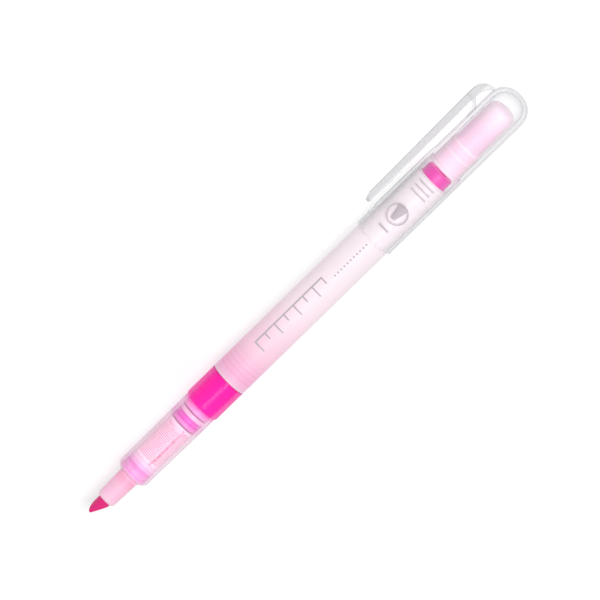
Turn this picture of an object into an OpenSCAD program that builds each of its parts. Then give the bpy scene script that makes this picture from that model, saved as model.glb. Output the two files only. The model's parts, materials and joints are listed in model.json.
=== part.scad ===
// Free-ink highlighter with its cap posted on the tail.
// It lies on the cap and one edge of the clip, nib towards +X.
// Every piece is drawn on the pen's own axis, with t the distance from the nib's
// tip towards the cap, and then laid down by lay_down().

/* [Nib and holder] */
// Length of nib that shows in front of its holder
nib_out = 5.0; // [4.6:0.1:5.6]
// Diameter of the fibre nib
nib_d = 3.7; // [3.4:0.1:3.8]
// Height of the chisel's edge above the pen's axis, towards the clip
nib_edge_c = 0.4; // [0.2:0.05:0.6]
// Length of holder that shows in front of the section
holder_out = 8.7; // [7.5:0.1:9.5]
// Diameter of the holder behind its rounded front
holder_front_d = 5.4; // [5.2:0.05:5.6]
// Diameter of the holder where it enters the section
holder_rear_d = 5.86; // [5.7:0.02:5.9]

/* [Section] */
// Length of the section that shows between the holder and the barrel
section_len = 37.1; // [36.9:0.1:37.6]
// Diameter behind the rounded nose
section_front_d = 9.57; // [9.3:0.01:9.7]
// Diameter of the seat that the cap slides over
seat_d = 9.88; // [9.8:0.01:9.92]
// Distance from the barrel's front face to the step that stops the cap
step_back = 10.6; // [10.3:0.1:10.7]
// Length of the sloping step
step_len = 1.1; // [0.8:0.1:1.4]
// Length of the spigot inside the barrel
spigot_len = 10; // [9.5:0.1:12]
// Number of sealing ribs on the spigot
spigot_ribs = 5; // [3:1:6]

/* [Barrel] */
// Outer diameter of the barrel and of the ink window
barrel_d = 10.5; // [10.4:0.05:10.8]
// Length of the barrel, from its front face to its tail end
barrel_len = 74.8; // [70:0.1:85]
// Length of the slimmer tail that the cap posts on
tail_len = 22.4; // [21:0.1:22.6]
// Diameter of the tail
tail_d = 10.0; // [9.95:0.01:10.0]
// Length of ink, from the divider towards the tail
ink_len = 52; // [25:1:70]
// Diameter of the end of the tail plug
plug_d = 7.9; // [7.6:0.05:8.0]
// Length of the tail plug behind the barrel
plug_out = 3.0; // [2:0.1:3.2]

/* [Cap] */
// Length of the cap
cap_len = 53.6; // [53.2:0.1:57]
// Outer diameter of the cap
cap_d = 11.7; // [11.6:0.05:12]
// Diameter of the cap's bore
cap_bore_d = 10.16; // [10.14:0.01:10.18]
// Gap between the cap's mouth and the barrel's shoulder, cap posted
mouth_gap = 0.55; // [0.5:0.05:1]
// Outer diameter of the inner cap's wide front
inner_front_d = 8.8; // [8.6:0.05:9]
// Outer diameter of the inner cap's rear
inner_rear_d = 8.1; // [8:0.05:8.2]
// Length of the inner cap
inner_len = 23.2; // [22:0.1:23.8]

/* [Clip] */
// Width of the clip at its root
clip_w = 4.6; // [4:0.1:5]
// Width of the clip near its free end
clip_tip_w = 4.0; // [3.6:0.1:4]
// Height of the clip's outer face above the pen's axis, at the root
clip_root_c = 9.9; // [9.7:0.05:10.2]
// Height of the clip's outer face above the pen's axis, near the free end
clip_tip_c = 9.32; // [9.2:0.02:9.5]
// Thickness of the clip
clip_thick = 2.1; // [1.8:0.05:2.2]
// Rise of the clip's crowned outer face
clip_crown = 0.35; // [0.25:0.05:0.5]
// Distance from the cap's mouth to the clip's free end
clip_tip_back = 5.75; // [5.5:0.05:7.5]

/* [Hidden] */
$fn = 96;

// How far the inner cap's mouth comes over the front of the section, with the cap on the nib
seal_back = 0.8;

// Stations along the pen
t_holder = nib_out;
t_section = t_holder + holder_out;
t_join = t_section + section_len;
t_tail_end = t_join + barrel_len;
t_shoulder = t_tail_end - tail_len;
t_mouth = t_shoulder + mouth_gap;
t_top = t_mouth + cap_len;
t_step = t_join - step_back;
t_inner = t_mouth + t_step - t_section - seal_back;

// Radii
nib_r = nib_d / 2;
holder_front_r = holder_front_d / 2;
holder_rear_r = holder_rear_d / 2;
section_front_r = section_front_d / 2;
seat_r = seat_d / 2;
barrel_r = barrel_d / 2;
tail_r = tail_d / 2;
plug_r = plug_d / 2;
cap_r = cap_d / 2;
cap_bore_r = cap_bore_d / 2;
inner_front_r = inner_front_d / 2;
inner_rear_r = inner_rear_d / 2;

// Clearance round a piece held in another, and between two pieces end to end
gap = 0.03;
end_gap = 0.05;
// Bore of the section, and the wider bore round the ink
section_bore_r = 4.0;
ink_bore_r = 4.1;
// Barrel: socket for the spigot, bore behind it, and hole for the plug
socket_r = 4.62;
barrel_bore_r = 4.45;
plug_hole_r = 3.9;
plug_spigot_len = 6.5;
// Wick
rod_r = 1.0;
// Edge breaks where two housings meet
seam_break = 0.14;

// Nose of the section
nose_wall = 1.1;
nose_lip_r = holder_rear_r + 0.1;
nose_lip = 0.75;
nose_round = 1.55;
t_nose_full = t_section + 2.35;
seat_len = 5.4;

// Front of the section, from the nose wall back
t_bush = t_section + nose_wall + end_gap;
bush_len = 4.5;
t_flange = t_bush + bush_len;
flange_len = 1.1;
t_collector = t_flange + flange_len + end_gap;
collector_len = 13.2;
t_divider = t_collector + collector_len;
divider_len = 6.8;
t_ink = t_divider + divider_len;

// Collector
fin_r = section_bore_r - 0.08;
fin_core_r = 2.3;
fin_pitch = 0.52;
fin_thick = 0.26;
fin_end = 0.9;
fins = floor((collector_len - 2 * fin_end) / fin_pitch);
groove_w = 0.6;
groove_angle = 115;

// Divider: the lengths of its bands from the collector back, with a seal ring in each neck
divider_r = section_bore_r - gap;
divider_neck = 0.5;
divider_front = 1.0;
divider_waist = 1.7;
divider_rear = 1.2;
t_waist = t_divider + divider_neck + divider_front;
t_waist_end = t_waist + divider_waist;
t_neck = t_waist_end + divider_rear;
ring_wire_r = 0.2;
ring_r = divider_r - ring_wire_r;

// Clip, in the plane of t and c, where c is the height above the axis
clip_hinge_t = t_top - 10.4;
clip_tip_t = t_mouth + clip_tip_back;
clip_slope = atan((clip_root_c - clip_tip_c) / (clip_hinge_t - clip_tip_t));
clip_hinge_c = clip_root_c - clip_thick / 2;
knuckle_r = clip_thick / 2;
knuckle_gap = 0.05;
crown_r = (pow(clip_w / 2, 2) + pow(clip_crown, 2)) / (2 * clip_crown);
root_round = 4.05;
root_back = 3.8;

// Pose on the table: the pen has rolled on to the lower edge of the clip
edge_c = clip_root_c - clip_crown;
edge_y = clip_w / 2;
roll = asin(cap_r / norm([edge_c, edge_y])) - atan2(edge_y, edge_c);
axis_y = (edge_c * cos(roll) + edge_y * sin(roll) - cap_r) / 2;

// Points along a circular arc
function arc(x, y, r, from, to, n = 8) =
    [for (i = [0 : n]) let (a = from + (to - from) * i / n) [x + r * cos(a), y + r * sin(a)]];

// Points of a rounded end as [radius, t]: flatter than an ellipse, from the rim to the apex
function dome(r, t, depth, power = 2.25, n = 20) =
    [for (i = [0 : n]) let (a = 90 * i / n)
        [r * pow(cos(a), 2 / power), t + depth * pow(sin(a), 2 / power)]];

module lay_down() {
    translate([t_top / 2, axis_y, cap_r]) rotate([90 + roll, 0, 0]) rotate([0, -90, 0])
        children();
}

// A turned piece from its half outline, as [radius, t] points
module turned(points) {
    rotate_extrude() polygon(points);
}

// A prism across the pen from an outline of [t, c] points
module across(points, width) {
    rotate([90, 0, 0]) translate([0, 0, -width / 2]) linear_extrude(width)
        polygon([for (p = points) [p[1], p[0]]]);
}

// A round bar across the pen
module cross_bar(t, c, r, width) {
    translate([c, 0, t]) rotate([90, 0, 0]) cylinder(h = width, r = r, center = true);
}

module nib() {
    bevel_t = nib_out - 0.45;
    nose_len = 3.2;
    side_round = 0.7;
    side_r = nib_r - 0.15;
    over = nib_r + 0.1;
    nib_tail = t_collector - end_gap;
    profile = concat(
        [for (a = [0 : 7.5 : 90]) [nose_len * (1 - cos(a)), nib_edge_c + (nib_r - nib_edge_c) * sin(a)]],
        [[nib_tail, over], [nib_tail, -over], [bevel_t, -over]]);
    plan = concat(arc(side_round, side_r - side_round, side_round, 180, 90),
        [[bevel_t, over], [nib_tail, over], [nib_tail, -over], [bevel_t, -over]],
        arc(side_round, side_round - side_r, side_round, 270, 180));
    color("deeppink") lay_down() intersection() {
        cylinder(h = nib_tail, r = nib_r);
        across(profile, 2 * over);
        rotate([0, 0, 90]) across(plan, 2 * over);
    }
}

module nib_holder() {
    corner = 0.85;
    bore = nib_r + gap;
    color("pink") lay_down() turned(concat(
        [[bore, t_holder]],
        arc(holder_front_r - corner, t_holder + corner, corner, -80, 0),
        [[holder_rear_r, t_section], [holder_rear_r, t_flange], [section_bore_r - gap, t_flange],
         [section_bore_r - gap, t_flange + flange_len], [bore, t_flange + flange_len]]));
}

module front_bush() {
    outer = section_bore_r - gap;
    bore = holder_rear_r + gap;
    groove = 0.35;
    groove_len = 0.5;
    step = bush_len / 3;
    color("plum") lay_down() turned(concat(
        [[bore, t_bush], [outer, t_bush]],
        [for (i = [1 : 2], p = [[0, -0.5], [-groove, -0.5], [-groove, 0.5], [0, 0.5]])
            [outer + p[0], t_bush + i * step + p[1] * groove_len]],
        [[outer, t_flange], [bore, t_flange]]));
}

module section() {
    first_rib = 2.7;
    last_rib_back = 1.5;
    ribs_from = t_join + first_rib;
    rib_pitch = (spigot_len - first_rib - last_rib_back) / (spigot_ribs - 1);
    rib_len = 0.5;
    spigot_r = socket_r - 0.17;
    rib_r = socket_r - gap / 2;
    end_break = 0.15;
    end_break_len = 0.4;
    nose = [for (a = [0 : 7.5 : 90])
        [nose_lip_r + nose_lip * (1 - cos(a)), t_section + nose_lip * sin(a)]];
    color("lavenderblush") lay_down() turned(concat(
        [[holder_rear_r + gap, t_section]], nose,
        arc(section_front_r - nose_round, t_nose_full, nose_round, -50, 0),
        [[seat_r, t_step - seat_len], [seat_r, t_step]],
        [for (a = [15 : 15 : 180])
            [seat_r + (barrel_r - seat_r) * (1 - cos(a)) / 2, t_step + step_len * a / 180]],
        [[barrel_r, t_join - seam_break], [barrel_r - seam_break, t_join], [spigot_r, t_join]],
        [for (i = [0 : spigot_ribs - 1], p = [[0, -0.5], [1, -0.2], [1, 0.2], [0, 0.5]])
            [spigot_r + p[0] * (rib_r - spigot_r), ribs_from + i * rib_pitch + p[1] * rib_len]],
        [[spigot_r, t_join + spigot_len - end_break_len],
         [spigot_r - end_break, t_join + spigot_len],
         [ink_bore_r, t_join + spigot_len], [ink_bore_r, t_ink], [section_bore_r, t_ink],
         [section_bore_r, t_section + nose_wall], [holder_rear_r + gap, t_section + nose_wall]]));
}

module collector() {
    fins_from = t_collector + fin_end + fin_pitch - fin_thick;
    color("mistyrose") lay_down() difference() {
        turned(concat(
            [[rod_r + gap, t_collector], [fin_r, t_collector], [fin_r, t_collector + fin_end],
             [fin_core_r, t_collector + fin_end]],
            [for (i = [0 : fins - 2], p = [[0, 0], [1, 0], [1, 1], [0, 1]])
                [fin_core_r + p[0] * (fin_r - fin_core_r), fins_from + i * fin_pitch + p[1] * fin_thick]],
            [[fin_core_r, t_divider - fin_end], [fin_r, t_divider - fin_end], [fin_r, t_divider],
             [rod_r + gap, t_divider]]));
        rotate([0, 0, groove_angle]) translate([fin_core_r, -groove_w / 2, t_collector + fin_end / 2])
            cube([fin_r, groove_w, collector_len - fin_end]);
    }
}

module feed_rod() {
    rod_tip = t_collector - end_gap;
    color("hotpink") lay_down() translate([0, 0, rod_tip])
        cylinder(h = t_ink - rod_tip, r = rod_r);
}

module divider() {
    neck_r = ring_r - ring_wire_r;
    waist_r = divider_r - 0.5;
    end_break = 0.3;
    color("orchid") lay_down() turned([
        [rod_r + gap, t_divider], [neck_r, t_divider], [neck_r, t_divider + divider_neck],
        [divider_r, t_divider + divider_neck], [divider_r, t_waist], [waist_r, t_waist],
        [waist_r, t_waist_end], [divider_r, t_waist_end], [divider_r, t_neck],
        [neck_r, t_neck], [neck_r, t_neck + divider_neck], [divider_r, t_neck + divider_neck],
        [divider_r, t_ink - end_break], [divider_r - end_break, t_ink], [rod_r + gap, t_ink]]);
}

module seal_ring(t) {
    rotate_extrude() translate([ring_r, t]) circle(r = ring_wire_r, $fn = 32);
}

module seal_ring_front() {
    color("dimgray") lay_down() seal_ring(t_divider + divider_neck / 2);
}

module seal_ring_rear() {
    color("dimgray") lay_down() seal_ring(t_neck + divider_neck / 2);
}

module ink() {
    t_spigot_end = t_join + spigot_len;
    color("magenta") lay_down() turned([
        [0, t_ink], [ink_bore_r - gap, t_ink], [ink_bore_r - gap, t_spigot_end + gap],
        [barrel_bore_r - gap, t_spigot_end + gap], [barrel_bore_r - gap, t_ink + ink_len],
        [0, t_ink + ink_len]]);
}

module barrel() {
    socket_end_gap = 0.8;
    socket_ramp = 0.2;
    shoulder_len = 0.25;
    plug_gap = 0.3;
    plug_hole_ramp = 0.8;
    tail_break = 0.5;
    t_socket_end = t_join + spigot_len + socket_end_gap;
    t_plug_hole = t_tail_end - plug_spigot_len - plug_gap;
    color("lavenderblush") lay_down() turned([
        [socket_r, t_join], [barrel_r - seam_break, t_join], [barrel_r, t_join + seam_break],
        [barrel_r, t_shoulder], [tail_r, t_shoulder + shoulder_len],
        [tail_r, t_tail_end - tail_break],
        [tail_r - tail_break, t_tail_end], [plug_hole_r, t_tail_end], [plug_hole_r, t_plug_hole],
        [barrel_bore_r, t_plug_hole - plug_hole_ramp], [barrel_bore_r, t_socket_end + socket_ramp],
        [socket_r, t_socket_end]]);
}

module tail_plug() {
    spigot_r = plug_hole_r - gap;
    edge = 0.25;
    lead_in = 0.3;
    lead_in_len = 0.6;
    recess_r = 2;
    recess_depth = 2;
    recess_draft = 0.2;
    t_front = t_tail_end - plug_spigot_len;
    t_end = t_tail_end + plug_out;
    color("deeppink") lay_down() turned([
        [0, t_front], [spigot_r - lead_in, t_front], [spigot_r, t_front + lead_in_len],
        [spigot_r, t_tail_end],
        [plug_r, t_tail_end], [plug_r, t_end - edge], [plug_r - edge, t_end], [recess_r, t_end],
        [recess_r - recess_draft, t_end - recess_depth], [0, t_end - recess_depth]]);
}

// The cap's own solid of revolution, without its bore
module cap_body() {
    mouth_edge = 0.3;
    dome_depth = 5.6;
    turned(concat([[0, t_mouth], [cap_r - mouth_edge, t_mouth], [cap_r, t_mouth + mouth_edge]],
        dome(cap_r, t_top - dome_depth, dome_depth)));
}

module outer_cap() {
    wall = 0.9;
    mouth_flare = 0.3;
    mouth_flare_len = 0.7;
    ledge_r = cap_bore_r - 0.4;
    t_ledge = t_inner + 1.05;
    inside_depth = 4.9;
    // Flat raised land under the clip, and the small nub in front of it
    land_c = cap_r + 0.22;
    land_w = 4.4;
    land_foot_r = cap_r - 0.6;
    nub_t = t_mouth + 4.7;
    nub_r = 1.0;
    nub_rise = 0.4;
    nub_w = 2.6;
    color("whitesmoke") lay_down() difference() {
        union() {
            cap_body();
            intersection() {
                turned([[land_foot_r, t_mouth + 5.9], [land_c, t_mouth + 6.5],
                        [land_c, t_mouth + 26.4], [land_foot_r, t_mouth + 38]]);
                translate([0, -land_w / 2, t_mouth]) cube([land_c + 1, land_w, cap_len]);
            }
            cross_bar(nub_t, cap_r + nub_rise - nub_r, nub_r, nub_w);
        }
        turned(concat(
            [[0, t_mouth - 1], [cap_bore_r + mouth_flare, t_mouth - 1],
             [cap_bore_r + mouth_flare, t_mouth], [cap_bore_r, t_mouth + mouth_flare_len],
             [cap_bore_r, t_ledge], [ledge_r, t_ledge]],
            dome(ledge_r, t_top - wall - inside_depth, inside_depth)));
    }
}

module clip_root() {
    front = clip_hinge_t;
    window_c = clip_root_c - clip_thick;
    low_c = 5;
    over_c = clip_root_c + 0.5;
    foot_len = 0.1;
    t_foot = t_top - root_back - foot_len;
    t_corner = t_top - root_back - root_round;
    // The rear leg, under the rounded corner of the clip
    leg = concat([[front, window_c], [front, over_c]],
        arc(t_corner, clip_root_c - root_round, root_round, 90, 0),
        [[t_top - root_back, low_c], [t_foot, low_c], [t_foot - 0.35, 6.05],
         [t_foot - 1, 6.7], [t_foot - 2, 7.2], [t_foot - 3.4, window_c - 0.25]]);
    // The thin web in front of the leg
    web = [[front - 3.6, low_c], [front - 3.2, 5.85], [front - 1.6, 6.1], [front - 0.5, 6.45],
           [front + 0.15, 6.9], [front + 0.6, 7.4], [front + 0.95, window_c + 0.2],
           [front + 1.75, window_c + 0.2], [front + 1.4, 7.4], [front + 0.85, 6.75],
           [front + 0.2, 6.3], [front - 0.4, low_c]];
    crown_from = 4;
    crown_len = 16;
    color("gainsboro") lay_down() difference() {
        intersection() {
            union() {
                across(leg, clip_w);
                across(web, clip_w);
            }
            translate([clip_root_c - crown_r, 0, front - crown_from])
                cylinder(h = crown_len, r = crown_r);
        }
        cap_body();
        cross_bar(clip_hinge_t, clip_hinge_c, knuckle_r + knuckle_gap, clip_w + 1);
    }
}

module clip() {
    t_tip = clip_tip_t;
    tip_r = 1.0;
    tip_c = clip_tip_c - 1.05;
    tip_under_c = clip_tip_c - clip_thick + 0.05;
    tip_round = 1.5;
    // Low bump under the clip that holds the paper
    bump_t = t_tip + 7.8;
    bump_r = 1.5;
    bump_rise = 0.12;
    bump_w = clip_w - 1.2;
    over_c = clip_root_c + 1;
    half = clip_w / 2;
    half_tip = clip_tip_w / 2;
    side = concat(
        [[clip_hinge_t, clip_root_c - clip_thick], [t_tip + 4.4, tip_under_c]],
        arc(t_tip + tip_r, tip_c, tip_r, -100, -200),
        [[t_tip + 2.2, clip_tip_c - 0.05], [t_tip + 4, over_c], [clip_hinge_t, over_c]]);
    plan = concat(
        arc(t_tip + tip_round, half_tip - tip_round, tip_round, 180, 90),
        [[clip_hinge_t, half], [t_top, half], [t_top, -half], [clip_hinge_t, -half]],
        arc(t_tip + tip_round, tip_round - half_tip, tip_round, 270, 180));
    color("gainsboro") lay_down() intersection() {
        union() {
            across(side, clip_w);
            cross_bar(clip_hinge_t, clip_hinge_c, knuckle_r, clip_w);
            cross_bar(bump_t, tip_under_c + bump_r - bump_rise, bump_r, bump_w);
        }
        rotate([0, 0, 90]) across(plan, 4 * over_c);
        translate([clip_root_c, 0, clip_hinge_t]) rotate([0, clip_slope, 0])
            translate([-crown_r, 0, -clip_hinge_t]) cylinder(h = 2 * clip_hinge_t, r = crown_r);
    }
}

module inner_cap() {
    wall = 0.65;
    lip = 0.2;
    mouth_flare = 0.2;
    mouth_flare_len = 0.4;
    flange_r = cap_bore_r - gap;
    flange = 1.05;
    t_taper = t_inner + 8.2;
    taper = 1.7;
    round_depth = 2.6;
    t_end = t_inner + inner_len;
    front_bore_r = inner_front_r - wall;
    rear_bore_r = inner_rear_r - wall;
    color("thistle") lay_down() difference() {
        turned(concat(
            [[0, t_inner], [flange_r - lip, t_inner], [flange_r, t_inner + lip],
             [flange_r, t_inner + flange], [inner_front_r, t_inner + flange],
             [inner_front_r, t_taper], [inner_rear_r, t_taper + taper]],
            dome(inner_rear_r, t_end - round_depth, round_depth)));
        turned(concat(
            [[0, t_inner - 1], [front_bore_r + mouth_flare, t_inner - 1],
             [front_bore_r + mouth_flare, t_inner], [front_bore_r, t_inner + mouth_flare_len],
             [front_bore_r, t_taper], [rear_bore_r, t_taper + taper]],
            dome(rear_bore_r, t_end - round_depth, round_depth - wall)));
    }
}

nib();
nib_holder();
front_bush();
section();
collector();
feed_rod();
divider();
seal_ring_front();
seal_ring_rear();
ink();
barrel();
tail_plug();
outer_cap();
clip_root();
clip();
inner_cap();
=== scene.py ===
import json
import math

import bpy
from mathutils import Matrix, Vector


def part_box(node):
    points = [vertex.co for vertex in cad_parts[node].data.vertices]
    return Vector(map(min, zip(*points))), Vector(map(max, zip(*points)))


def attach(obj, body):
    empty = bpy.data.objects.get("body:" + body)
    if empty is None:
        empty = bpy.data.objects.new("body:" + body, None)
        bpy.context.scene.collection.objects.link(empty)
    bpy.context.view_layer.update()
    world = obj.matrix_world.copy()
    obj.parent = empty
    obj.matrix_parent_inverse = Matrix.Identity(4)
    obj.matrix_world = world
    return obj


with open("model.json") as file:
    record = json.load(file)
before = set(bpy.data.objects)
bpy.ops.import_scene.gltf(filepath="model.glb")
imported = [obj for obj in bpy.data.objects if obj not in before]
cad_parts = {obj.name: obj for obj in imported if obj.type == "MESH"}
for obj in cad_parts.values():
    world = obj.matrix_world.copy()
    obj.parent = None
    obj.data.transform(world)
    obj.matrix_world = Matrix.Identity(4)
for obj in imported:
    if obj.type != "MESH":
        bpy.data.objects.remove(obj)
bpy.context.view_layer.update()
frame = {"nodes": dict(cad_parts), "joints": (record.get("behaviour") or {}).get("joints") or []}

# ---------------------------------------------------------------- the pen's own frame
# t runs from the nib's tip towards the cap, c towards the clip and f out of the printed
# side, all in mm from the pen's axis.
MM = 0.001
HINGE = next(j for j in frame["joints"] if j["name"] == "clip_flex")
FACE = -Vector(HINGE["axis"]).normalized()
ALONG = Vector((-1, 0, 0))
CLIP = FACE.cross(ALONG)
BARREL_LOW, BARREL_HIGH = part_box("barrel")
MIDDLE = (BARREL_LOW + BARREL_HIGH) / 2
TIP = Vector((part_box("nib")[1].x, MIDDLE.y, MIDDLE.z))


def place(t, c=0.0, f=0.0):
    """The point of the shared frame at these pen coordinates in mm."""
    return TIP + (ALONG * t + CLIP * c + FACE * f) * MM


def station(x):
    """The t of an x in the shared frame."""
    return (TIP.x - x) / MM


def span(node):
    """First and last t of a CAD node."""
    low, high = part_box(node)
    return station(high.x), station(low.x)


T_HOLDER = span("nib_holder")[0]
T_SECTION = span("section")[0]
T_JOIN, T_TAIL = span("barrel")
T_MOUTH = span("outer_cap")[0]
T_DIVIDER, T_INK = span("divider")
T_BUSH, T_FLANGE = span("front_bush")
BARREL_R = (BARREL_HIGH.z - BARREL_LOW.z) / 2 / MM
# The pen lies on its cap, so its axis is the cap's radius above the floor
CAP_R = MIDDLE.z / MM


# ---------------------------------------------------------------- colour and node helpers
def linear(r, g, b):
    """An sRGB colour, 0 to 255, as linear values."""
    def one(v):
        v /= 255
        return v / 12.92 if v <= 0.04045 else ((v + 0.055) / 1.055) ** 2.4
    return (one(r), one(g), one(b), 1.0)


class Material:
    """A node material, with short calls for the nodes that it needs."""

    def __init__(self, name):
        self.material = bpy.data.materials.new(name)
        self.material.use_nodes = True
        self.tree = self.material.node_tree
        self.tree.nodes.clear()
        self.output = self.tree.nodes.new("ShaderNodeOutputMaterial")
        self.shader = self.tree.nodes.new("ShaderNodeBsdfPrincipled")
        self.link(self.shader.outputs[0], self.output.inputs["Surface"])
        self.coordinates = self.tree.nodes.new("ShaderNodeTexCoord").outputs["Object"]

    def link(self, source, socket):
        self.tree.links.new(source, socket)

    def feed(self, socket, value):
        if isinstance(value, bpy.types.NodeSocket):
            self.link(value, socket)
        elif value is not None:
            socket.default_value = value

    def set(self, **values):
        """Sets the shader's sockets: words joined by _ name one."""
        for name, value in values.items():
            self.feed(self.shader.inputs[name.replace("_", " ")], value)
        return self

    def math(self, operation, a, b=None):
        node = self.tree.nodes.new("ShaderNodeMath")
        node.operation = operation
        for socket, value in zip(node.inputs, (a, b)):
            self.feed(socket, value)
        return node.outputs[0]

    def along(self, direction):
        """A pen coordinate in mm."""
        away = self.tree.nodes.new("ShaderNodeVectorMath")
        away.operation = "SUBTRACT"
        self.link(self.coordinates, away.inputs[0])
        away.inputs[1].default_value = TIP
        dot = self.tree.nodes.new("ShaderNodeVectorMath")
        dot.operation = "DOT_PRODUCT"
        self.link(away.outputs[0], dot.inputs[0])
        dot.inputs[1].default_value = direction / MM
        return dot.outputs["Value"]

    def noise(self, size_mm, detail=2.0, stretch=1.0):
        """Noise of that grain, drawn out along the pen by stretch."""
        mapping = self.tree.nodes.new("ShaderNodeMapping")
        self.link(self.coordinates, mapping.inputs["Vector"])
        grain = 1 / (size_mm * MM)
        mapping.inputs["Scale"].default_value = (grain / stretch, grain, grain)
        node = self.tree.nodes.new("ShaderNodeTexNoise")
        node.inputs["Scale"].default_value = 1.0
        node.inputs["Detail"].default_value = detail
        self.link(mapping.outputs[0], node.inputs["Vector"])
        return node.outputs["Fac"]

    def remap(self, value, low, high, to_low=0.0, to_high=1.0, smooth=True):
        """The value carried from one range to another, and held at both ends."""
        node = self.tree.nodes.new("ShaderNodeMapRange")
        node.interpolation_type = "SMOOTHSTEP" if smooth else "LINEAR"
        self.feed(node.inputs["Value"], value)
        for name, number in (("From Min", low), ("From Max", high),
                             ("To Min", to_low), ("To Max", to_high)):
            self.feed(node.inputs[name], number)
        return node.outputs[0]

    def ramp(self, value, stops, smooth=False):
        """A colour ramp node over a coordinate: stops are (coordinate, colour)."""
        low, high = stops[0][0], stops[-1][0]
        node = self.tree.nodes.new("ShaderNodeValToRGB")
        node.color_ramp.interpolation = "EASE" if smooth else "LINEAR"
        self.link(self.remap(value, low, high, smooth=False), node.inputs["Fac"])
        elements = node.color_ramp.elements
        while len(elements) < len(stops):
            elements.new(0.5)
        for element, (at, colour) in zip(elements, stops):
            element.position = (at - low) / (high - low)
            element.color = colour
        return node.outputs["Color"]

    def levels(self, value, stops):
        """A number that follows a coordinate: stops are (coordinate, number)."""
        return self.ramp(value, [(at, (v, v, v, 1)) for at, v in stops])

    def mix(self, factor, a, b):
        """The colour between a and b at this factor."""
        node = self.tree.nodes.new("ShaderNodeMix")
        node.data_type = "RGBA"
        sockets = {socket.identifier: socket for socket in node.inputs}
        for name, value in (("Factor_Float", factor), ("A_Color", a), ("B_Color", b)):
            self.feed(sockets[name], value)
        return next(socket for socket in node.outputs if socket.identifier == "Result_Color")

    def spread(self, grain, low, high):
        """A number that follows the grain between low and high."""
        return self.remap(grain, 0.3, 0.7, low, high)

    def edge(self, power):
        """0 where a see-through wall faces the eye, 1 where it is seen edge-on."""
        node = self.tree.nodes.new("ShaderNodeLayerWeight")
        node.inputs["Blend"].default_value = 0.5
        return self.math("POWER", node.outputs["Facing"], power)

    def bump(self, height, depth_mm):
        """Relief of that depth, which is the last thing that a material gets."""
        node = self.tree.nodes.new("ShaderNodeBump")
        node.inputs["Strength"].default_value = 1.0
        node.inputs["Distance"].default_value = depth_mm * MM
        self.link(height, node.inputs["Height"])
        self.link(node.outputs[0], self.shader.inputs["Normal"])
        return self

    def dress(self, *nodes):
        """Puts the material on CAD nodes."""
        for name in nodes:
            mesh = frame["nodes"][name].data
            mesh.materials.clear()
            mesh.materials.append(self.material)
        return self


# ---------------------------------------------------------------- materials
def nib_fibre():
    m = Material("nib_fibre")
    fibres = m.noise(0.09, detail=3, stretch=9)
    m.set(Base_Color=m.mix(fibres, linear(200, 4, 96), linear(234, 28, 134)),
          Roughness=m.spread(fibres, 0.72, 0.88), Sheen_Weight=0.3)
    return m.bump(fibres, 0.03)


def wick_fibre():
    m = Material("wick_fibre")
    fibres = m.noise(0.1, detail=3, stretch=12)
    m.set(Base_Color=m.mix(fibres, linear(226, 70, 150), linear(250, 130, 190)),
          Roughness=m.spread(fibres, 0.76, 0.9))
    return m.bump(fibres, 0.02)


def holder_plastic():
    m = Material("holder_plastic")
    body = m.ramp(m.along(ALONG), [
        (T_HOLDER, linear(246, 206, 224)), (T_HOLDER + 2, linear(248, 194, 220)),
        (T_HOLDER + 6, linear(248, 186, 214)), (T_SECTION - 0.5, linear(250, 166, 198)),
        (T_FLANGE - 0.1, linear(250, 180, 216)),
        (T_FLANGE, linear(252, 214, 238))])
    grain = m.noise(0.5, detail=3)
    m.set(Base_Color=m.mix(m.spread(grain, 0.0, 0.25), body, linear(252, 206, 230)),
          Roughness=m.spread(grain, 0.34, 0.46), IOR=1.49)
    return m.bump(grain, 0.004)


def bush_plastic():
    m = Material("bush_plastic")
    pale = linear(250, 190, 232)
    deep = linear(244, 152, 222)
    tones = (pale, deep, pale, deep, deep, pale, pale)
    step = (T_FLANGE - T_BUSH) / (len(tones) - 1)
    stops = [(T_BUSH + i * step, tone) for i, tone in enumerate(tones)]
    grain = m.noise(0.6, detail=2)
    m.set(Base_Color=m.ramp(m.along(ALONG), stops, smooth=True),
          Roughness=m.spread(grain, 0.35, 0.5))
    return m.bump(grain, 0.004)


def collector_plastic():
    """Pale plastic with spots of ink along its groove, given a faint painted glow in its own colour
    that lightens the shade among its fins and in its groove.
    """
    m = Material("collector_plastic")
    grain = m.noise(0.7, detail=2)
    groove_c = -1.6
    off = m.math("ABSOLUTE", m.math("SUBTRACT", m.along(CLIP), groove_c))
    printed_side = m.remap(m.along(FACE), 0.5, 2.0)
    near = m.math("MULTIPLY", m.remap(off, 0.15, 0.6, 1, 0), printed_side)
    spots = m.remap(m.noise(1.1, detail=1, stretch=1.2), 0.57, 0.66)
    stain = m.math("MULTIPLY", near, spots)
    body = m.mix(grain, linear(252, 222, 236), linear(251, 210, 230))
    tone = m.mix(stain, body, linear(236, 70, 150))
    # The emission is a painted glow: the collector is no lamp, and the glow stands in for light
    # reaching the shade between its fins.
    m.set(Base_Color=tone, Roughness=m.spread(grain, 0.44, 0.56), Emission_Color=tone,
          Emission_Strength=0.14)
    return m.bump(grain, 0.004)


def divider_plastic():
    m = Material("divider_plastic")
    lilac = linear(246, 148, 222)
    violet = linear(238, 66, 206)
    pale = linear(250, 202, 228)
    d = T_DIVIDER
    grain = m.noise(0.5)
    m.set(Base_Color=m.ramp(m.along(ALONG), [
        (d, lilac), (d + 1.45, lilac), (d + 1.65, violet), (d + 2.3, linear(244, 110, 220)),
        (d + 3.15, violet), (d + 3.3, pale), (d + 4.3, pale), (d + 4.9, linear(252, 176, 230)),
        (T_INK, linear(252, 150, 222))]), Roughness=m.spread(grain, 0.36, 0.48))
    return m.bump(grain, 0.004)


def seal_rubber():
    m = Material("seal_rubber")
    grain = m.noise(0.12, detail=2)
    m.set(Base_Color=m.mix(grain, linear(176, 100, 150), linear(196, 126, 172)),
          Roughness=m.spread(grain, 0.54, 0.66))
    return m.bump(grain, 0.006)


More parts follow.
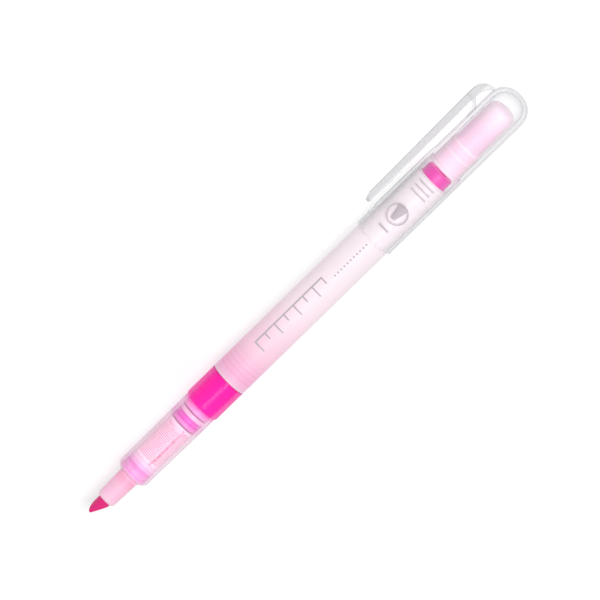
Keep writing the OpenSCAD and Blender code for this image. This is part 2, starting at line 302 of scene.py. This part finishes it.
def ink_fluid():
    m = Material("ink_fluid")
    cloud = m.noise(4.0, detail=2, stretch=2)
    m.set(Base_Color=m.mix(cloud, linear(255, 30, 170), linear(255, 52, 186)),
          Roughness=m.spread(cloud, 0.1, 0.14), IOR=1.34)
    return m.bump(cloud, 0.01)


def plug_plastic():
    m = Material("plug_plastic")
    grain = m.noise(0.5, detail=2)
    m.set(Base_Color=m.mix(grain, linear(228, 20, 164), linear(244, 34, 184)),
          Roughness=m.spread(grain, 0.35, 0.45))
    return m.bump(grain, 0.005)


def see_through(name, colour, thin, thick, rough, power=3.0):
    """Moulded plastic that lets the inside show.

    thin is how much of it is seen face-on, and thick how much where the wall is seen edge-on.
    The colour and both of these are values or functions of the material."""
    m = Material(name)
    grain = m.noise(0.8, detail=2)
    face = thin(m) if callable(thin) else thin
    rim = thick(m) if callable(thick) else thick
    m.set(Base_Color=colour(m) if callable(colour) else colour,
          Roughness=m.spread(grain, rough * 0.85, rough * 1.15), IOR=1.49,
          Specular_IOR_Level=0.25,
          Alpha=m.remap(m.edge(power), 0.0, 1.0, face, rim, smooth=False))
    return m.bump(grain, 0.002)


def section_plastic():
    """Clear at the front, stained round the divider, and full of ink in the window."""
    window = T_INK

    def colour(m):
        return m.ramp(m.along(ALONG), [
            (T_SECTION, linear(246, 214, 234)), (T_SECTION + 2, linear(240, 196, 224)),
            (T_BUSH + 3, linear(240, 196, 226)), (T_FLANGE, linear(238, 206, 228)),
            (T_FLANGE + 2, linear(232, 208, 222)), (T_DIVIDER, linear(234, 198, 218)),
            (T_DIVIDER + 1.6, linear(236, 158, 212)), (T_DIVIDER + 3.2, linear(236, 164, 212)),
            (T_DIVIDER + 3.8, linear(246, 202, 230)),
            (window - 1.2, linear(240, 176, 222)), (window + 0.2, linear(255, 46, 182)),
            (T_JOIN - 0.6, linear(255, 38, 176)), (T_JOIN - 0.1, linear(196, 20, 140)),
            (T_JOIN, linear(255, 236, 246)), (T_JOIN + 12, linear(250, 226, 240))])

    def thin(m):
        return m.levels(m.along(ALONG), [
            (T_SECTION, 0.2), (T_SECTION + 2, 0.1), (window - 1.4, 0.12), (window + 0.2, 0.5),
            (T_JOIN - 0.3, 0.6), (T_JOIN, 0.6), (T_JOIN + 0.1, 0.1), (T_JOIN + 12, 0.1)])

    def thick(m):
        return m.levels(m.along(ALONG), [
            (T_SECTION, 0.7), (window - 1.0, 0.8), (window + 0.2, 1.0), (T_JOIN, 1.0),
            (T_JOIN + 0.1, 0.3), (T_JOIN + 12, 0.3)])
    return see_through("section_plastic", colour, thin, thick, 0.16, 1.4)


def barrel_plastic():
    """Milky, pinker towards the ink, with the spigot's ribs faintly seen through it."""
    def colour(m):
        t = m.along(ALONG)
        body = m.ramp(t, [
            (T_JOIN, linear(254, 236, 246)), (T_JOIN + 0.5, linear(252, 202, 230)),
            (T_JOIN + 3, linear(255, 190, 222)), (T_JOIN + 12, linear(254, 212, 231)),
            (T_JOIN + 27, linear(250, 228, 238)), (T_JOIN + 48, linear(245, 233, 239)),
            (T_TAIL, linear(245, 233, 239))])
        first = T_JOIN + 2.7
        pitch = 1.45
        turn = m.math("MULTIPLY", m.math("SUBTRACT", t, first), 2 * math.pi / pitch)
        rib = m.remap(m.math("COSINE", turn), 0.2, 1.0)
        fade = m.levels(t, [(T_JOIN, 0.0), (first - 0.4, 0.0), (first, 0.55), (T_JOIN + 9, 0.15),
                            (T_JOIN + 10, 0.0), (T_TAIL, 0.0)])
        return m.mix(m.math("MULTIPLY", rib, fade), body, linear(250, 166, 212))

    def thin(m):
        return m.levels(m.along(ALONG), [(T_JOIN, 0.85), (T_JOIN + 8, 0.9), (T_JOIN + 27, 0.97),
                                         (T_TAIL, 1.0)])
    return see_through("barrel_plastic", colour, thin, 1.0, 0.34)


def cap_plastic():
    return see_through("cap_plastic", linear(208, 210, 213), 0.06, 0.82, 0.22, 1.8)


def clip_plastic():
    """Clearer in the thin web under the clip than in its arm."""
    web_c = 7.5
    arm_c = 8.0

    def thin(m):
        return m.levels(m.along(CLIP), [(web_c, 0.25), (arm_c, 0.8)])

    def thick(m):
        return m.levels(m.along(CLIP), [(web_c, 0.6), (arm_c, 0.95)])
    return see_through("clip_plastic", linear(206, 205, 208), thin, thick, 0.28, 1.5)


def inner_cap_plastic():
    """Milky, with a pale line painted at either end of its taper: painted highlights where the
    bends catch the light.
    """
    start, end = span("inner_cap")

    def colour(m):
        # The pale stops at start + 5.3 and start + 8.3 are painted highlights on the bends of the
        # taper.
        return m.ramp(m.along(ALONG), [
            (start, linear(246, 222, 236)), (start + 5.0, linear(245, 211, 229)),
            (start + 5.3, linear(250, 234, 244)), (start + 5.6, linear(245, 211, 229)),
            (start + 8, linear(245, 211, 229)), (start + 8.3, linear(250, 234, 244)),
            (start + 8.8, linear(240, 206, 226)), (end - 9, linear(240, 206, 226)),
            (end - 3, linear(244, 224, 236)), (end, linear(244, 226, 236))])
    return see_through("inner_cap_plastic", colour, 0.68, 0.9, 0.35, 2.0)


def print_ink():
    m = Material("print_ink")
    grain = m.noise(0.25, detail=3)
    m.set(Base_Color=m.mix(grain, linear(176, 166, 174), linear(196, 186, 194)),
          Roughness=m.spread(grain, 0.35, 0.55))
    return m.bump(grain, 0.004)


nib_fibre().dress("nib")
wick_fibre().dress("feed_rod")
holder_plastic().dress("nib_holder")
bush_plastic().dress("front_bush")
collector_plastic().dress("collector")
divider_plastic().dress("divider")
seal_rubber().dress("seal_ring_front", "seal_ring_rear")
ink_fluid().dress("ink")
plug_plastic().dress("tail_plug")
section_plastic().dress("section")
barrel_plastic().dress("barrel")
cap_plastic().dress("outer_cap")
clip_plastic().dress("clip_root", "clip")
inner_cap_plastic().dress("inner_cap")
# Clear walls let the lamp through to what they hold
for clear in ("section", "outer_cap", "clip_root", "clip", "inner_cap"):
    frame["nodes"][clear].visible_shadow = False


# ---------------------------------------------------------------- printed marks
# A patch is rows of (t, c) points, and whether each row closes on itself. A mark stands
# PRINT_OUT above the surface and reaches PRINT_IN into it.
PRINT_OUT = 0.03
PRINT_IN = 0.01
PRINT = print_ink().material


def rectangle(t0, t1, c0, c1, grain=0.3):
    """A patch along and across the pen."""
    steps = max(1, math.ceil((c1 - c0) / grain))
    across = [c0 + (c1 - c0) * j / steps for j in range(steps + 1)]
    return [[(t, c) for c in across] for t in (t0, t1)], False


def ring(t, outer, inner, steps=48):
    """A closed band round the middle of the printed side."""
    turns = [2 * math.pi * k / steps for k in range(steps)]
    return [[(t + r * math.cos(a), r * math.sin(a)) for a in turns] for r in (inner, outer)], True


def tapered(stations, steps=10):
    """A patch in the middle of the printed side, from each (t, half its width) to the next."""
    across = [2 * j / steps - 1 for j in range(steps + 1)]
    return [[(t, half * side) for side in across] for t, half in stations], False


def spot(t, r, steps=8):
    """A round patch in the middle of the printed side, its two ends a little flat."""
    turns = [math.pi * (k + 0.5) / (steps + 1) for k in reversed(range(steps + 1))]
    return tapered([(t + r * math.cos(a), r * math.sin(a)) for a in turns], 4)


def outline(rows, columns, closed):
    """The loops of (row, column) round a patch, with the patch on their left."""
    if closed:
        return [[(0, j) for j in reversed(range(columns))], [(rows - 1, j) for j in range(columns)]]
    return [[(i, 0) for i in range(rows)] + [(rows - 1, j) for j in range(1, columns)]
            + [(i, columns - 1) for i in reversed(range(rows - 1))]
            + [(0, j) for j in reversed(range(1, columns - 1))]]


def printed(name, patches, radius, body):
    """Thin marks that follow the printed side of a round surface."""
    points, faces = [], []
    for patch, closed in patches:
        rows, columns = len(patch), len(patch[0])
        start = len(points)
        for height in (radius + PRINT_OUT, radius - PRINT_IN):
            for row in patch:
                points += [place(t, c, math.sqrt(height ** 2 - c ** 2)) for t, c in row]

        def at(layer, i, j):
            return start + (layer * rows + i) * columns + j % columns

        for i in range(rows - 1):
            for j in range(columns if closed else columns - 1):
                corners = (i, j), (i + 1, j), (i + 1, j + 1), (i, j + 1)
                faces.append([at(0, *corner) for corner in corners])
                faces.append([at(1, *corner) for corner in reversed(corners)])
        for loop in outline(rows, columns, closed):
            for one, other in zip(loop, loop[1:] + loop[:1]):
                faces.append((at(0, *other), at(0, *one), at(1, *one), at(1, *other)))
    mesh = bpy.data.meshes.new(name)
    mesh.from_pydata(points, [], faces)
    mesh.materials.append(PRINT)
    piece = bpy.data.objects.new(name, mesh)
    bpy.context.scene.collection.objects.link(piece)
    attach(piece, body)


def barrel_print():
    """Ruler strokes under a bar, and a row of small spots behind them."""
    strokes = 8
    pitch = 3.45
    width = 0.42
    first = T_JOIN + 12.4
    top = 2.3
    under = top - width
    long_foot = -1.3
    short_foot = 0.0
    spots = 11
    spot_pitch = 1.15
    spot_r = 0.28
    first_spot = first + 27.4
    patches = [rectangle(first, first + (strokes - 1) * pitch + width, under, top)]
    for k in range(strokes):
        foot = short_foot if k % 2 else long_foot
        patches.append(rectangle(first + k * pitch, first + k * pitch + width, foot, under))
    patches += [spot(first_spot + k * spot_pitch, spot_r) for k in range(spots)]
    printed("barrel_print", patches, BARREL_R, "pen")


def cap_print():
    """A round mark with a wedge in it, a short bar in front and three plain lines behind."""
    mark = T_MOUTH + 9.7
    mark_r = 2.9
    stroke = 0.22
    wedge = [(mark - 1.7, 0.55), (mark + 2.5, 1.5)]
    bar = mark - 5.2
    bar_width = 0.4
    bar_half = 1.6
    lines = 3
    line_pitch = 1.6
    line_half = 2.6
    first_line = mark + 7.3
    patches = [ring(mark, mark_r, mark_r - stroke), tapered(wedge),
               rectangle(bar, bar + bar_width, -bar_half, bar_half)]
    for k in range(lines):
        line = first_line + k * line_pitch
        patches.append(rectangle(line, line + stroke, -line_half, line_half))
    printed("cap_print", patches, CAP_R, "cap")


barrel_print()
cap_print()


# ---------------------------------------------------------------- stage, light and camera
def floor():
    """Pale paper that glows faintly, so that it is white and the pen's shadow on it is soft."""
    bpy.ops.mesh.primitive_plane_add(size=4)
    piece = bpy.context.object
    piece.name = "floor"
    m = Material("floor_paper")
    m.set(Base_Color=linear(160, 160, 160), Roughness=0.9, Emission_Color=(1, 1, 1, 1),
          Emission_Strength=0.62)
    piece.data.materials.append(m.material)


def studio():
    """An even white surround, and colours shown as they are."""
    strength = 0.42
    scene = bpy.context.scene
    scene.world = bpy.data.worlds.new("studio")
    scene.world.use_nodes = True
    background = scene.world.node_tree.nodes["Background"]
    background.inputs["Color"].default_value = (1, 1, 1, 1)
    background.inputs["Strength"].default_value = strength
    scene.view_settings.view_transform = "Standard"
    # A look through the posted cap passes many clear walls
    scene.cycles.transparent_max_bounces = 32


def softbox(direction, target):
    """A round lamp that faces the target from that direction."""
    distance = 1.5
    light = bpy.data.lights.new("key", "AREA")
    light.shape = "DISK"
    light.size = 1.2
    light.energy = 18.5
    lamp = bpy.data.objects.new("key", light)
    bpy.context.scene.collection.objects.link(lamp)
    lamp.location = target + direction.normalized() * distance
    lamp.rotation_euler = (-direction).to_track_quat("-Z", "Y").to_euler()


def camera(towards, target):
    """The pen lies across the picture from lower left to upper right."""
    turn = math.radians(44.3)
    distance = 2.4
    width = 155.6 * MM
    pen = CLIP.cross(towards)
    right = pen * math.cos(turn) - CLIP * math.sin(turn)
    up = pen * math.sin(turn) + CLIP * math.cos(turn)
    data = bpy.data.cameras.new("camera")
    data.lens = data.sensor_width * distance / width
    data.clip_start = 0.01
    data.clip_end = 20
    eye = bpy.data.objects.new("camera", data)
    bpy.context.scene.collection.objects.link(eye)
    turn_to = Matrix((right, up, towards)).transposed().to_4x4()
    eye.matrix_world = Matrix.Translation(target + towards * distance) @ turn_to
    bpy.context.scene.camera = eye


# The eye looks at the printed side, with the nib turned a little away
LEAN = math.radians(9.3)
TOWARDS = FACE * math.cos(LEAN) + ALONG * math.sin(LEAN)
TARGET = place(78.7, 1.8)

floor()
studio()
camera(TOWARDS, TARGET)
softbox(TOWARDS - CLIP * 0.3, TARGET)
